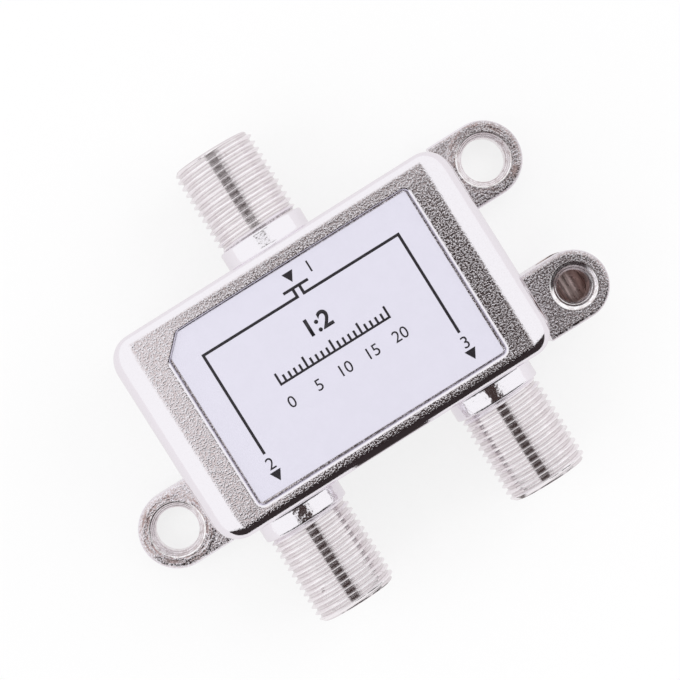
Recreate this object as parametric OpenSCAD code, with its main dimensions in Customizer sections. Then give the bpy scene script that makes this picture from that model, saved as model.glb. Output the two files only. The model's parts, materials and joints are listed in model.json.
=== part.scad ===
// Two-way coaxial splitter: a die-cast housing with three threaded ports, two mounting ears
// and a ground block, closed at the back by a soldered cover, with its circuit inside.
// Millimetres. The back lies on Z = 0, the label faces +Z and the input port points to +Y.

/* [Body] */
// Width of the body, left side to right side
body_w = 41.2; // [38:0.1:46]
// Length of the body between its port faces
body_l = 24.4; // [23:0.1:30]
// Height of the body, back to front
body_h = 15.2; // [14.4:0.1:18]
// Rounding of the left and right front edges
side_round = 3; // [1:0.1:3.4]
// Rounding of the front edges on the port sides
end_round = 1.2; // [0.4:0.1:1.8]
// Rounding of the four upright corners
corner_round = 3; // [1.6:0.1:3.4]
// Thickness of the walls round the cavity
wall = 2; // [1.8:0.1:2.4]
// Thickness of the front wall behind the label
front_wall = 1.8; // [1.2:0.1:2.4]

/* [Label] */
// Width of the recess for the label
recess_w = 30.6; // [28:0.1:33]
// Length of the recess for the label
recess_l = 20.3; // [18:0.1:21.5]
// Distance of the recess's centre from the body's centre, away from the input port
recess_shift = 0.25; // [0:0.05:0.5]
// Depth of the recess
recess_depth = 0.4; // [0.2:0.05:0.8]
// Corner radius of the recess
recess_round = 0.5; // [0.2:0.1:2]
// Gap between the label and the recess wall, at the left and at the right
label_gap = 0.45; // [0.4:0.05:1.2]
// Gap at the label's edge nearest the input port
label_top_gap = 0.2; // [0.15:0.05:0.6]
// Gap at the label's edge nearest the output ports
label_foot_gap = 0.45; // [0.2:0.05:0.8]
// Gap at the label's cut corner
label_cut_gap = 0.15; // [0.1:0.05:0.4]
// Thickness of the label
label_t = 0.15; // [0.08:0.01:0.3]
// Size of the label's cut corner
label_cut = 2; // [0.6:0.1:4]
// Angle at which the label was stuck on, clockwise
label_skew = 0.25; // [0:0.05:0.5]

/* [Ports] */
// Distance between the two output ports
port_spacing = 24.1; // [20:0.1:26]
// Height of the port axes above the back
port_h = 7; // [6.6:0.1:7.8]
// Reach of the input port from the body
in_reach = 12; // [10.5:0.1:14]
// Reach of the output ports from the body
out_reach = 12.4; // [10.5:0.1:14]
// Outside diameter of the port thread
thread_d = 9.4; // [9.3:0.01:9.52]
// Pitch of the port thread
thread_pitch = 0.794; // [0.7:0.001:1]
// Depth of the port thread
thread_depth = 0.43; // [0.3:0.01:0.5]
// Diameter of the plain boss at the foot of each port
boss_d = 9.9; // [9.6:0.1:11]
// Length of the plain boss
boss_l = 2.1; // [1:0.1:3]
// Chamfer at the port's mouth
mouth_chamfer = 0.3; // [0.1:0.05:0.4]
// Bore that holds the front insulator
front_bore_d = 7; // [6.6:0.1:7.4]
// Bore that holds the rear insulator
rear_bore_d = 5.6; // [4.6:0.1:6]
// Distance from the body to the step between the two bores
bore_step = 3.2; // [2.4:0.1:4]

/* [Insulators and contacts] */
// Depth of the front insulator below the port's mouth
insulator_inset = 0.25; // [0:0.05:1]
// Diameter of the hole that takes the cable's centre wire
pin_hole_d = 1.4; // [1.1:0.05:1.8]
// Diameter of the funnel in front of that hole
funnel_d = 3; // [2:0.1:4.4]
// Depth of the funnel
funnel_depth = 0.8; // [0.4:0.1:1.2]
// Diameter of the room for the contact
contact_room_d = 3.4; // [3:0.1:4]
// Length of the room for the contact
contact_room_l = 6.2; // [5.8:0.1:6.8]
// Thickness of the contact strip
strip_t = 0.3; // [0.2:0.05:0.4]
// Width of the contact leaves
leaf_w = 1.6; // [1:0.1:2]
// Length of the contact leaves
leaf_l = 5.2; // [4:0.1:5.4]
// Gap between the leaves at their neck
leaf_gap = 0.5; // [0.3:0.05:0.8]
// Width across the leaves at their foot
leaf_foot = 2.4; // [1.8:0.1:2.6]
// Width of the contact tail
tail_w = 1; // [0.6:0.1:1.4]
// Distance from the cavity wall to the tail's downward leg
tail_run = 1.5; // [1.2:0.1:2]
// Bend radius inside the tail
tail_bend = 0.5; // [0.3:0.1:0.8]

/* [Ears] */
// Distance from the centre line to each ear hole, across
ear_x = 24.75; // [24:0.05:28]
// Distance from the centre line to each ear hole, along
ear_y = 8.15; // [6:0.05:8.6]
// Radius of the ears
ear_r = 4.3; // [3.8:0.1:5]
// Thickness of the ears
ear_t = 3; // [2:0.1:4]
// Rounding of the ears' front edge
ear_round = 0.7; // [0.2:0.1:1]
// Diameter of the ear holes
ear_hole_d = 4.8; // [4:0.1:5]
// Chamfer at the front of the ear holes
ear_sink = 0.65; // [0.2:0.05:0.8]

/* [Ground block] */
// Distance from the centre line to the ground screw hole, across
block_x = 25.2; // [24.6:0.05:28]
// Distance from the centre line to the ground screw hole, along
block_y = 8.4; // [6:0.05:8.8]
// Radius of the block's round end
block_r = 3.85; // [3.4:0.05:4.4]
// Height of the block
block_h = 9; // [8:0.1:11]
// Rounding of the block's front edge
block_round = 0.5; // [0.2:0.1:0.9]
// Bore of the tapped hole for the ground screw
screw_bore_d = 3.5; // [3.2:0.05:3.6]
// Chamfer at the mouth of the tapped hole
screw_sink = 0.85; // [0.4:0.05:0.9]
// Diameter of the channel for the ground wire
channel_d = 3.8; // [3.7:0.1:4.2]
// Height of the channel's axis above the back
channel_h = 3.7; // [3.2:0.1:4.2]

/* [Back cover] */
// Thickness of the back cover
cover_t = 0.5; // [0.3:0.05:0.8]
// Depth of the cover's outer face below the rim
cover_inset = 0.3; // [0.2:0.05:0.5]
// Width of the rim that stays round the cover
rim_w = 1.3; // [1:0.1:1.6]
// Gap between the cover and the rim
cover_gap = 0.1; // [0.05:0.01:0.2]
// Width of the solder seam on the cover's edge
seam_w = 0.9; // [0.5:0.1:1.6]
// Distance of the seam's face below the rim
seam_inset = 0.08; // [0.04:0.01:0.15]

/* [Circuit board] */
// Thickness of the circuit board
board_t = 1; // [0.8:0.1:1.6]
// Height of the board's solder side above the back
board_h = 3; // [2.6:0.1:3.4]
// Gap between the board and the cavity walls
board_gap = 0.3; // [0.1:0.05:0.6]
// Thickness of the copper
copper_t = 0.05; // [0.035:0.005:0.1]
// Width of the copper tracks
track_w = 1.2; // [0.6:0.1:1.6]
// Diameter of the solder pads
pad_d = 1.9; // [1.5:0.1:2.2]
// Height of the solder joints
joint_h = 0.5; // [0.3:0.05:0.8]
// Length of the wire ends beyond the joints
wire_end = 0.15; // [0.05:0.05:0.3]
// Width of the cast ribs that carry the board
rib_w = 2.4; // [2.2:0.1:3]
// Length of the cast ribs that carry the board
rib_l = 3; // [2:0.1:4]
// Diameter of the cast pegs that pass through the board
peg_d = 1.2; // [0.8:0.1:1.4]

/* [Parts on the board] */
// Width of each ferrite core, across its two holes
core_w = 5; // [4.6:0.1:5.4]
// Length of each ferrite core, along its holes
core_l = 3.6; // [3:0.1:4]
// Height of each ferrite core
core_h = 3; // [2.6:0.1:4]
// Diameter of the holes through the cores
core_hole_d = 1.4; // [1.2:0.1:1.6]
// Distance between the two holes of a core
core_hole_gap = 2.5; // [2.4:0.1:2.8]
// Place of the matching core along the body
matching_y = 4.2; // [3.9:0.1:4.6]
// Place of the splitting core along the body
splitting_y = -1.6; // [-1.9:0.1:-1.2]
// Thickness of each wire bundle
bundle_t = 0.8; // [0.5:0.1:0.9]
// Diameter of the winding ends
winding_end_d = 0.4; // [0.3:0.05:0.6]
// Diameter of the component leads
lead_d = 0.5; // [0.4:0.05:0.6]
// Diameter of the resistor's body
resistor_d = 1.8; // [1.4:0.1:2.4]
// Length of the resistor's body
resistor_l = 4; // [3:0.1:5]
// Distance between the resistor's legs
resistor_legs = 7; // [6.4:0.1:8]
// Place of the resistor along the body
resistor_y = -6.4; // [-6.8:0.1:-6]
// Diameter of the disc capacitors
disc_d = 4.2; // [3:0.1:5]
// Thickness of the disc capacitors
disc_t = 1.8; // [1.2:0.1:2.2]
// Distance between a capacitor's legs
disc_legs = 2.5; // [2.2:0.1:3]
// Height of a capacitor above the board
disc_lift = 0.6; // [0.3:0.1:1]
// Distance of the input capacitor from the centre line, across
in_disc_x = 7; // [6.4:0.1:8]
// Place of the input capacitor along the body
in_disc_y = 6; // [5:0.1:7]
// Distance of the output capacitors from the centre line, across
out_disc_x = 9; // [8:0.1:10]
// Place of the output capacitors along the body
out_disc_y = -3.6; // [-4.4:0.1:-3]

/* [Hidden] */
$fn = 96;
// Amount by which a cut runs past the face that it opens.
over = 0.5;
// Clearance round what passes through a hole in the board or sits loosely in a slot.
slip = 0.1;
// Amount by which the ears and the block reach into the body's side wall.
root = 0.4;
// Width of the flat at the bottom of a thread groove, and the slope of its flanks.
thread_root = thread_pitch / 4;
thread_flank = 30;
// Thickness of the contact's collar.
collar_t = 0.8;
// Length of the curl at the tips of the leaves.
leaf_tip = 0.8;
// Angle round a bundle's end at which its wires turn down to the board.
winding_turn = 25;
// Rounding of the cavity's corners.
cavity_round = corner_round - wall;

cavity_w = body_w - 2 * wall;
cavity_l = body_l - 2 * wall;
cavity_top = body_h - recess_depth - front_wall;
rebate_w = body_w - 2 * rim_w;
rebate_l = body_l - 2 * rim_w;
rebate_round = corner_round - rim_w;
rebate_depth = cover_inset + cover_t;
label_w = recess_w - 2 * label_gap;
label_l = recess_l - label_top_gap - label_foot_gap;
label_y = (label_foot_gap - label_top_gap) / 2 - recess_shift;
recess_cut = label_cut + label_gap + label_top_gap - label_cut_gap * sqrt(2);
board_w = cavity_w - 2 * board_gap;
board_l = cavity_l - 2 * board_gap;
board_top = board_h + board_t;
core_z = board_top + core_h / 2;
resistor_z = board_top + resistor_d / 2 + slip;
disc_z = board_top + disc_lift + disc_d / 2;
wire_foot = board_h - copper_t - joint_h - wire_end;
tail_y = cavity_l / 2 - tail_run + strip_t / 2;
bundle_run = core_l + 2 * slip;

// The three ports: place of the foot on the body, and reach.
in_port = [0, body_l / 2, in_reach];
out_port_1 = [-port_spacing / 2, -body_l / 2, out_reach];
out_port_2 = [port_spacing / 2, -body_l / 2, out_reach];
ports = [in_port, out_port_1, out_port_2];

// Feet of the contact tails on the board.
tail_feet = [[0, tail_y], [-port_spacing / 2, -tail_y], [port_spacing / 2, -tail_y]];
// Pegs that locate the board, one in each corner.
pegs = [for (sx = [-1, 1], sy = [-1, 1])
    [sx * (cavity_w - rib_w) / 2, sy * (cavity_l - rib_l) / 2]];
// Ends of the two windings: two beyond each end of a core.
function winding_feet(y) = [for (sx = [-1, 1], sy = [-1, 1])
    [sx * (bundle_run / 2 + core_hole_gap / 2 * sin(winding_turn)),
    y + sy * core_hole_gap / 2 * cos(winding_turn)]];
resistor_feet = [for (s = [-1, 1]) [s * resistor_legs / 2, resistor_y]];
function disc_feet(x, y) = [for (s = [-1, 1]) [x + s * disc_legs / 2, y]];
in_disc_feet = disc_feet(-in_disc_x, in_disc_y);
out_disc_feet_1 = disc_feet(-out_disc_x, out_disc_y);
out_disc_feet_2 = disc_feet(out_disc_x, out_disc_y);
matching_feet = winding_feet(matching_y);
splitting_feet = winding_feet(splitting_y);
lead_feet = concat(resistor_feet, in_disc_feet, out_disc_feet_1, out_disc_feet_2);
winding_all = concat(matching_feet, splitting_feet);

// Outline helpers.

module rounded_rect(w, l, r) {
    square([w - 2 * r, l], center = true);
    square([w, l - 2 * r], center = true);
    for (x = [-1, 1], y = [-1, 1])
        translate([x * (w / 2 - r), y * (l / 2 - r)])
            circle(r);
}

// Upright outline, flat at the foot, with its two upper corners rounded.
module arch_outline(w, h, r) {
    translate([-w / 2, 0])
        square([w, h - r]);
    translate([r - w / 2, 0])
        square([w - 2 * r, h]);
    for (x = [-1, 1])
        translate([x * (w / 2 - r), h - r])
            circle(r);
}

// Half of that outline, turned about Z to make a round end.
module arch_end(r, h, edge) {
    rotate_extrude()
        intersection() {
            arch_outline(2 * r, h, edge);
            square([r, h]);
        }
}

// Plate with one round end: its straight part runs back into the body's side.
module lug(x, y, r, h, edge) {
    run = x - body_w / 2 + root;
    translate([x, y, 0])
        arch_end(r, h, edge);
    translate([x - run, y, 0])
        rotate([90, 0, 90])
            linear_extrude(run)
                arch_outline(2 * r, h, edge);
}

// Puts a piece on a port: local Z runs out along the port, local Y points to the back.
module on_port(port) {
    translate([port[0], port[1], port_h])
        rotate([0, 0, port[1] > 0 ? 0 : 180])
            rotate([-90, 0, 0])
                children();
}

// Housing.

module body_block() {
    intersection() {
        linear_extrude(body_h)
            rounded_rect(body_w, body_l, corner_round);
        translate([0, body_l / 2, 0])
            rotate([90, 0, 0])
                linear_extrude(body_l)
                    arch_outline(body_w, body_h, side_round);
        translate([-body_w / 2, 0, 0])
            rotate([90, 0, 90])
                linear_extrude(body_w)
                    arch_outline(body_l, body_h, end_round);
    }
}

// One groove of the port thread, as a ring cut at height z.
module thread_groove(z) {
    slope = tan(thread_flank);
    crest_half = thread_root / 2 + thread_depth * slope;
    rotate_extrude()
        polygon([
            [thread_d / 2 - thread_depth, z - thread_root / 2],
            [thread_d / 2 + over, z - crest_half - slope * over],
            [thread_d / 2 + over, z + crest_half + slope * over],
            [thread_d / 2 - thread_depth, z + thread_root / 2]]);
}

module port_barrel(reach) {
    count = floor((reach - boss_l - mouth_chamfer) / thread_pitch);
    translate([0, 0, -wall / 2])
        cylinder(d = boss_d, h = boss_l + wall / 2);
    difference() {
        union() {
            cylinder(d = thread_d, h = reach - mouth_chamfer);
            translate([0, 0, reach - mouth_chamfer])
                cylinder(d1 = thread_d, d2 = thread_d - 2 * mouth_chamfer, h = mouth_chamfer);
        }
        for (i = [0 : count - 1])
            thread_groove(boss_l + thread_pitch * (i + 0.5));
    }
}

module port_bores(reach) {
    translate([0, 0, -wall - over])
        cylinder(d = rear_bore_d, h = wall + over + bore_step + over);
    translate([0, 0, bore_step])
        cylinder(d = front_bore_d, h = reach - bore_step + over);
}

module ear_hole() {
    translate([ear_x, ear_y, -over])
        cylinder(d = ear_hole_d, h = ear_t + 2 * over);
    translate([ear_x, ear_y, ear_t - ear_sink])
        cylinder(d1 = ear_hole_d, d2 = ear_hole_d + 2 * ear_sink + 2 * over, h = ear_sink + over);
}

module ground_holes() {
    translate([block_x, -block_y, channel_h])
        cylinder(d = screw_bore_d, h = block_h - channel_h + over);
    translate([block_x, -block_y, block_h - screw_sink])
        cylinder(d1 = screw_bore_d, d2 = screw_bore_d + 2 * screw_sink + 2 * over,
            h = screw_sink + over);
    translate([block_x, -block_y + block_r + over, channel_h])
        rotate([90, 0, 0])
            cylinder(d = channel_d, h = 2 * block_r + 2 * over);
}

// Cavity with the four ribs left standing, down to the board, and a peg on each rib.
module cavity() {
    difference() {
        translate([0, 0, -over])
            linear_extrude(cavity_top + over)
                rounded_rect(cavity_w, cavity_l, cavity_round);
        for (p = pegs) {
            translate([p[0], p[1], (board_top + body_h) / 2])
                cube([rib_w + 2 * slip, rib_l + 2 * slip, body_h - board_top], center = true);
            translate([p[0], p[1], board_h - joint_h])
                cylinder(d = peg_d, h = board_t + joint_h + over);
        }
    }
    translate([0, 0, -over])
        linear_extrude(rebate_depth + over)
            rounded_rect(rebate_w, rebate_l, rebate_round);
}

// Outline of the recess, with the corner cut off beside the label's cut corner.
module recess_outline() {
    translate([0, -recess_shift])
        difference() {
            rounded_rect(recess_w, recess_l, recess_round);
            translate([-recess_w / 2, recess_l / 2])
                rotate([0, 0, 45])
                    square(recess_cut * sqrt(2), center = true);
        }
}

module housing() {
    color("lightgray")
        difference() {
            union() {
                body_block();
                for (p = ports)
                    on_port(p)
                        port_barrel(p[2]);
                for (a = [0, 180])
                    rotate([0, 0, a])
                        lug(ear_x, ear_y, ear_r, ear_t, ear_round);
                lug(block_x, -block_y, block_r, block_h, block_round);
            }
            cavity();
            for (p = ports)
                on_port(p)
                    port_bores(p[2]);
            for (a = [0, 180])
                rotate([0, 0, a])
                    ear_hole();
            ground_holes();
            translate([0, 0, body_h - recess_depth])
                linear_extrude(recess_depth + over)
                    recess_outline();
        }
}

// Cover, its seam and the label.

module back_cover() {
    color("silver")
        translate([0, 0, cover_inset])
            linear_extrude(cover_t)
                rounded_rect(rebate_w - 2 * cover_gap, rebate_l - 2 * cover_gap,
                    rebate_round - cover_gap);
}

module solder_seam() {
    inner = 2 * (cover_gap + seam_w);
    color("gainsboro")
        translate([0, 0, seam_inset])
            linear_extrude(cover_inset - seam_inset)
                difference() {
                    rounded_rect(rebate_w, rebate_l, rebate_round);
                    rounded_rect(rebate_w - inner, rebate_l - inner, rebate_round - inner / 4);
                }
}

module label() {
    w = label_w / 2;
    l = label_l / 2;
    color("lavender")
        translate([0, label_y, body_h - recess_depth])
            rotate([0, 0, -label_skew])
                linear_extrude(label_t)
                    polygon([[-w, -l], [w, -l], [w, l], [label_cut - w, l], [-w, l - label_cut]]);
}

// Port inserts.

module front_insulator(port) {
    length = port[2] - insulator_inset - bore_step;
    color("white")
        on_port(port)
            translate([0, 0, bore_step])
                difference() {
                    cylinder(d = front_bore_d, h = length);
                    translate([0, 0, -over])
                        cylinder(d = contact_room_d, h = contact_room_l + over);
                    cylinder(d = pin_hole_d, h = length);
                    translate([0, 0, length - funnel_depth])
                        cylinder(d1 = pin_hole_d,
                            d2 = pin_hole_d + (funnel_d - pin_hole_d) * (funnel_depth + over) / funnel_depth,
                            h = funnel_depth + over);
                }
}

module rear_insulator(port) {
    color("ivory")
        on_port(port)
            difference() {
                translate([0, 0, -wall])
                    cylinder(d = rear_bore_d, h = wall + bore_step);
                translate([0, 0, (bore_step - wall) / 2])
                    cube([tail_w + slip, strip_t + slip, wall + bore_step + 2 * over], center = true);
            }
}

// One leaf of the contact, seen along the strip's width: it closes to the neck and curls open.
module leaf_outline() {
    foot = leaf_foot / 2;
    neck = leaf_gap / 2;
    tip = neck + leaf_tip / 2;
    neck_z = leaf_l - leaf_tip;
    polygon([[foot - strip_t, 0], [foot, 0], [foot, collar_t],
        [neck + strip_t, neck_z], [tip + strip_t, leaf_l], [tip, leaf_l],
        [neck, neck_z], [foot - strip_t, collar_t]]);
}

// Tail strip: back through the rear insulator, round its bend and down through the board.
module tail_outline() {
    back = -wall - tail_run;
    leg = port_h - wire_foot;
    bend = tail_bend + strip_t;
    translate([-strip_t / 2, back + bend])
        square([strip_t, bore_step - back - bend]);
    translate([tail_bend + strip_t / 2, back + bend])
        intersection() {
            difference() {
                circle(bend);
                circle(tail_bend);
            }
            translate([-bend, -bend])
                square(bend);
        }
    translate([tail_bend + strip_t / 2, back])
        square([leg - tail_bend - strip_t / 2, strip_t]);
}

module contact(port) {
    color("goldenrod")
        on_port(port) {
            translate([0, 0, bore_step])
                rotate([90, 0, 90])
                    linear_extrude(leaf_w, center = true)
                        for (s = [0, 1])
                            mirror([s, 0])
                                leaf_outline();
            translate([0, 0, bore_step])
                cylinder(d = leaf_foot, h = collar_t);
            rotate([90, 0, 90])
                linear_extrude(tail_w, center = true)
                    tail_outline();
        }
}

// Circuit board.

module board_outline() {
    rounded_rect(board_w, board_l, cavity_round);
}

module circuit_board() {
    color("darkseagreen")
        difference() {
            translate([0, 0, board_h])
                linear_extrude(board_t)
                    board_outline();
            for (p = pegs)
                translate([p[0], p[1], board_h - over])
                    cylinder(d = peg_d + 2 * slip, h = board_t + 2 * over);
            for (f = tail_feet)
                translate([f[0], f[1], board_h + board_t / 2])
                    cube([tail_w + 2 * slip, strip_t + 2 * slip, board_t + 2 * over], center = true);
            for (f = lead_feet)
                translate([f[0], f[1], board_h - over])
                    cylinder(d = lead_d + 2 * slip, h = board_t + 2 * over);
            for (f = winding_all)
                translate([f[0], f[1], board_h - over])
                    cylinder(d = winding_end_d + 2 * slip, h = board_t + 2 * over);
        }
}

module track(a, b) {
    d = b - a;
    translate(a)
        rotate(atan2(d[1], d[0]))
            translate([0, -track_w / 2])
                square([norm(d), track_w]);
}

module copper_outline() {
    for (f = concat(tail_feet, lead_feet, winding_all, pegs))
        translate(f)
            circle(d = pad_d);
    track(tail_feet[0], [in_disc_feet[0][0], tail_y]);
    track([in_disc_feet[0][0], tail_y], in_disc_feet[0]);
    track(in_disc_feet[1], matching_feet[1]);
    track(matching_feet[0], splitting_feet[1]);
    track(matching_feet[2], splitting_feet[3]);
    track(matching_feet[3], pegs[3]);
    track(splitting_feet[0], out_disc_feet_1[1]);
    track(splitting_feet[2], out_disc_feet_2[0]);
    track(resistor_feet[0], out_disc_feet_1[1]);
    track(resistor_feet[1], out_disc_feet_2[0]);
    track(out_disc_feet_1[0], tail_feet[1]);
    track(out_disc_feet_2[1], tail_feet[2]);
}

module wire_holes(z, h) {
    for (f = tail_feet)
        translate([f[0], f[1], z + h / 2])
            cube([tail_w, strip_t, h], center = true);
    for (f = lead_feet)
        translate([f[0], f[1], z])
            cylinder(d = lead_d, h = h);
    for (f = winding_all)
        translate([f[0], f[1], z])
            cylinder(d = winding_end_d, h = h);
    for (p = pegs)
        translate([p[0], p[1], z])
            cylinder(d = peg_d, h = h);
}

module copper_tracks() {
    color("peru")
        difference() {
            translate([0, 0, board_h - copper_t])
                linear_extrude(copper_t)
                    intersection() {
                        copper_outline();
                        board_outline();
                    }
            wire_holes(board_h - over, 2 * over);
        }
}

module solder_joints() {
    color("whitesmoke")
        difference() {
            translate([0, 0, board_h - copper_t - joint_h])
                for (f = concat(tail_feet, lead_feet, winding_all, pegs))
                    translate([f[0], f[1], 0])
                        cylinder(d1 = pad_d / 2, d2 = pad_d - 2 * slip, h = joint_h);
            wire_holes(board_h - joint_h - 2 * over, joint_h + 4 * over);
        }
}

// Parts on the board.

module ferrite_core(y) {
    color("dimgray")
        translate([-core_l / 2, y, core_z])
            difference() {
                rotate([90, 0, 90])
                    linear_extrude(core_l)
                        rounded_rect(core_w, core_h, core_h / 2 - slip);
                for (s = [-1, 1])
                    translate([-over, s * core_hole_gap / 2, 0])
                        rotate([0, 90, 0])
                            cylinder(d = core_hole_d, h = core_l + 2 * over);
            }
}

module bundle_outline(r) {
    square([bundle_run, 2 * r], center = true);
    for (s = [-1, 1])
        translate([s * bundle_run / 2, 0])
            circle(r);
}

// Bundle of enamelled wire through both holes of a core, with its ends down to the board.
module winding(y, feet) {
    color("firebrick") {
        translate([0, y, core_z - bundle_t / 2])
            linear_extrude(bundle_t)
                difference() {
                    bundle_outline((core_hole_gap + bundle_t) / 2);
                    bundle_outline((core_hole_gap - bundle_t) / 2);
                }
        for (f = feet)
            translate([f[0], f[1], wire_foot])
                cylinder(d = winding_end_d, h = core_z - wire_foot);
    }
}

module balance_resistor() {
    cap_l = resistor_l / 4;
    color("tan")
        translate([0, resistor_y, resistor_z])
            rotate([0, 90, 0]) {
                cylinder(d = resistor_d - 2 * slip, h = resistor_l - cap_l, center = true);
                for (s = [-1, 1])
                    translate([0, 0, s * (resistor_l - cap_l) / 2])
                        rotate_extrude()
                            intersection() {
                                rounded_rect(resistor_d, cap_l, slip);
                                translate([0, -cap_l])
                                    square(2 * cap_l);
                            }
            }
}

module resistor_leads() {
    bend = lead_d;
    level = resistor_legs / 2 - bend;
    color("silver")
        for (s = [0, 1])
            mirror([s, 0, 0])
                translate([0, resistor_y, 0]) {
                    translate([resistor_l / 2, 0, resistor_z])
                        rotate([0, 90, 0])
                            cylinder(d = lead_d, h = level - resistor_l / 2);
                    translate([level, 0, resistor_z - bend])
                        rotate([90, 0, 0])
                            rotate_extrude(angle = 90)
                                translate([bend, 0])
                                    circle(d = lead_d);
                    translate([level + bend, 0, wire_foot])
                        cylinder(d = lead_d, h = resistor_z - bend - wire_foot);
                }
}

module disc_capacitor(x, y) {
    translate([x, y, disc_z])
        rotate([90, 0, 0])
            rotate_extrude()
                intersection() {
                    rounded_rect(disc_d, disc_t, disc_t / 2 - slip);
                    translate([0, -disc_t])
                        square([disc_d, 2 * disc_t]);
                }
}

module capacitor_body(x, y) {
    color("chocolate")
        disc_capacitor(x, y);
}

module capacitor_leads() {
    color("silver")
        difference() {
            for (f = concat(in_disc_feet, out_disc_feet_1, out_disc_feet_2))
                translate([f[0], f[1], wire_foot])
                    cylinder(d = lead_d, h = disc_z - wire_foot);
            disc_capacitor(-in_disc_x, in_disc_y);
            disc_capacitor(-out_disc_x, out_disc_y);
            disc_capacitor(out_disc_x, out_disc_y);
        }
}

housing();
back_cover();
solder_seam();
label();
front_insulator(in_port);  // front_insulator_in
front_insulator(out_port_1);  // front_insulator_out_1
front_insulator(out_port_2);  // front_insulator_out_2
rear_insulator(in_port);  // rear_insulator_in
rear_insulator(out_port_1);  // rear_insulator_out_1
rear_insulator(out_port_2);  // rear_insulator_out_2
contact(in_port);  // contact_in
contact(out_port_1);  // contact_out_1
contact(out_port_2);  // contact_out_2
circuit_board();
copper_tracks();
solder_joints();
ferrite_core(matching_y);  // matching_core
winding(matching_y, matching_feet);  // matching_winding
ferrite_core(splitting_y);  // splitting_core
winding(splitting_y, splitting_feet);  // splitting_winding
balance_resistor();
resistor_leads();
capacitor_body(-in_disc_x, in_disc_y);  // input_capacitor
capacitor_body(-out_disc_x, out_disc_y);  // output_capacitor_1
capacitor_body(out_disc_x, out_disc_y);  // output_capacitor_2
capacitor_leads();
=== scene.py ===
"""Looks of a two-way coaxial splitter: casting, ports, label, back and inner pieces, on a pale floor."""

import json
import math

import bmesh
import bpy
from bpy.props import FloatProperty, FloatVectorProperty, PointerProperty
from bpy.types import Operator, Panel, PropertyGroup
from mathutils import Matrix, Vector


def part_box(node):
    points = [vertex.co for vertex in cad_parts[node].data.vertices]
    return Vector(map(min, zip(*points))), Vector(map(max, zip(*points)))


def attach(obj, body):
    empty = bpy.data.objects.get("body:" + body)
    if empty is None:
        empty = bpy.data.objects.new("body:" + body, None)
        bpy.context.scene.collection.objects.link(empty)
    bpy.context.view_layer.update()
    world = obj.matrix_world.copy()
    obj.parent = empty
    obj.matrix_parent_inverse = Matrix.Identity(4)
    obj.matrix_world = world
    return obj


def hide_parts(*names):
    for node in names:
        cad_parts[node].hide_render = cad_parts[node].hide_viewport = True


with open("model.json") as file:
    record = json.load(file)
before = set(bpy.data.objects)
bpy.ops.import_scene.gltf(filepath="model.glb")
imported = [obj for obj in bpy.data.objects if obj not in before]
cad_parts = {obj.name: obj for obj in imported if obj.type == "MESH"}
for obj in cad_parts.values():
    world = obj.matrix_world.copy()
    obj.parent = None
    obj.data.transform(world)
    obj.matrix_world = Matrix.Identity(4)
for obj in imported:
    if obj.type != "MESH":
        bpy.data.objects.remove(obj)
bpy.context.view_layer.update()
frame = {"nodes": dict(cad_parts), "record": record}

bl_info = {
    "name": "Coaxial splitter",
    "version": (1, 0, 0),
    "blender": (4, 5, 0),
    "location": "3D View > Sidebar > Splitter",
    "description": "Builds the looks of a two-way coaxial splitter round its frame",
    "category": "Object",
}

MM = 0.001
MOUNTS = {mount["name"]: mount for mount in frame["record"]["mounts"]}
PORTS = {"input": "input_port_thread", "output_1": "output_1_port_thread", "output_2": "output_2_port_thread"}
EARS = ("mounting_hole_1", "mounting_hole_2")
SKIN_MARKS = ("grain", "ripple", "grime")
# Distance of the rings beside a rounding that keep the normals of the flat next to it true
NEAR = 0.06 * MM
# Length of a cutter or a root beyond the piece that it works on
OVER = 1 * MM
CORNER_STEPS = 14
ROUND_STEPS = 10
TURN_STEPS = 128
THREAD_STEPS = 96
THREAD_ROWS = 16
# The casting's finishes, by their material slot
CAST, MACHINED, DRILLED, SUNK = range(4)


# Sizes and colours that a user may change

def length(description, value):
    """A size in millimetres, kept in metres."""
    return FloatProperty(description=description, default=value * MM, unit="LENGTH", precision=5)


def colour(description, value):
    """A linear colour."""
    return FloatVectorProperty(description=description, default=value, subtype="COLOR", min=0, max=1)


class CastingSizes(PropertyGroup):
    """Sizes of the die-cast housing."""

    width: length("Body, left side to right side", 41.2)
    length: length("Body, between its port faces", 24.4)
    height: length("Body, back to front", 15.2)
    side_round: length("Left and right front edges", 3)
    end_round: length("Front edges on the port sides", 1.2)
    corner_round: length("Four upright corners", 3)
    foot_round: length("Outer edge of the back rim", 0.35)
    wall: length("Walls round the cavity", 2)
    front_wall: length("Wall behind the label", 1.8)
    rim: length("Rim that stays round the back cover", 1.3)
    rebate: length("Depth of the seat of the back cover", 0.8)
    recess_width: length("Label recess, measured over its lip", 30.6)
    recess_length: length("Label recess, measured over its lip", 20.3)
    recess_shift: length("Recess's centre, measured from the body's towards the outputs", 0.25)
    recess_cut: length("Cut corner of the recess, beside the label's", 2.438)
    recess_depth: length("Label recess", 0.4)
    recess_slope: length("Width of the recess's sloping wall", 0.3)
    recess_top_slope: length("Width of that wall at the label's top edge", 0.13)
    recess_round: length("Corners of the recess", 0.8)
    # Width of the painted shadow at the foot of the recess's wall
    recess_foot_shade: length("Width of the dirt at the foot of the recess's wall", 0.06)
    lip_round: length("Rounded lip of the recess", 0.34)
    bead_width: length("Solder bead round the back cover", 1)
    bead_height: length("Solder bead, above the back cover", 0.19)


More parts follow.
